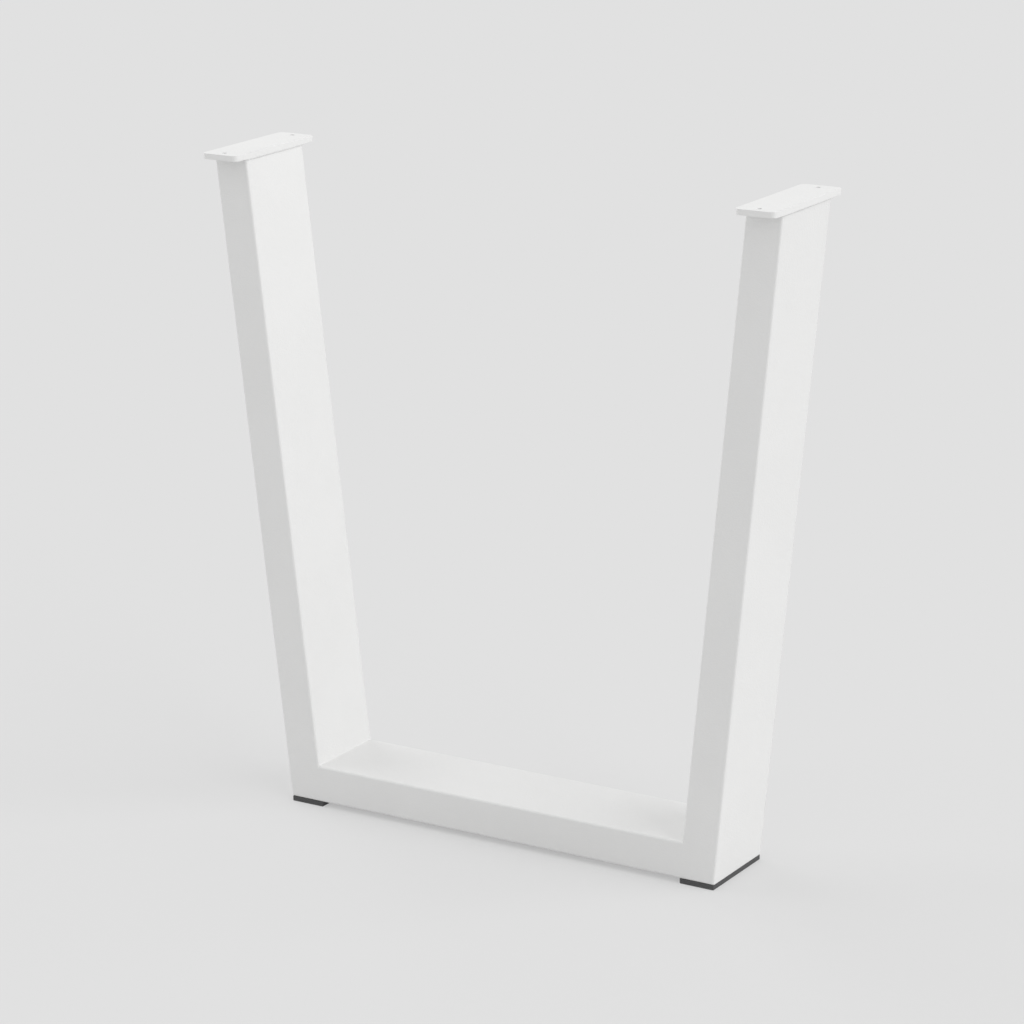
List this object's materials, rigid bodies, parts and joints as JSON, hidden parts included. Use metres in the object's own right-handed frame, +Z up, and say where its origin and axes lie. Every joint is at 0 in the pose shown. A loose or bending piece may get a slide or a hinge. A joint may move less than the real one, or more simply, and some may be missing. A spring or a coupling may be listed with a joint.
{
  "type": "u shaped table leg",
  "caption": "U-shaped welded steel table leg of rectangular tube, white powder coated, with outward-leaning posts, drilled mounting plates on top and black pads under the corners.",
  "frame": {"origin": "on the floor, midway between the foot pads and midway between the tube's front and back faces", "axes": "+X across the leg from the left post to the right post, +Y from the front face to the back face, +Z up to the table top"},
  "size_m": [0.664, 0.14, 0.7],
  "materials": {
    "powder_coat": "satin white powder coat on steel",
    "pad_rubber": "matt black"
  },
  "bodies": {
    "root": {"left_post": "powder_coat", "right_post": "powder_coat", "bottom_bar": "powder_coat", "left_top_plate": "powder_coat", "right_top_plate": "powder_coat", "left_plate_weld": "powder_coat", "right_plate_weld": "powder_coat", "left_foot_pad": "pad_rubber", "right_foot_pad": "pad_rubber"}
  },
  "joints": []
}
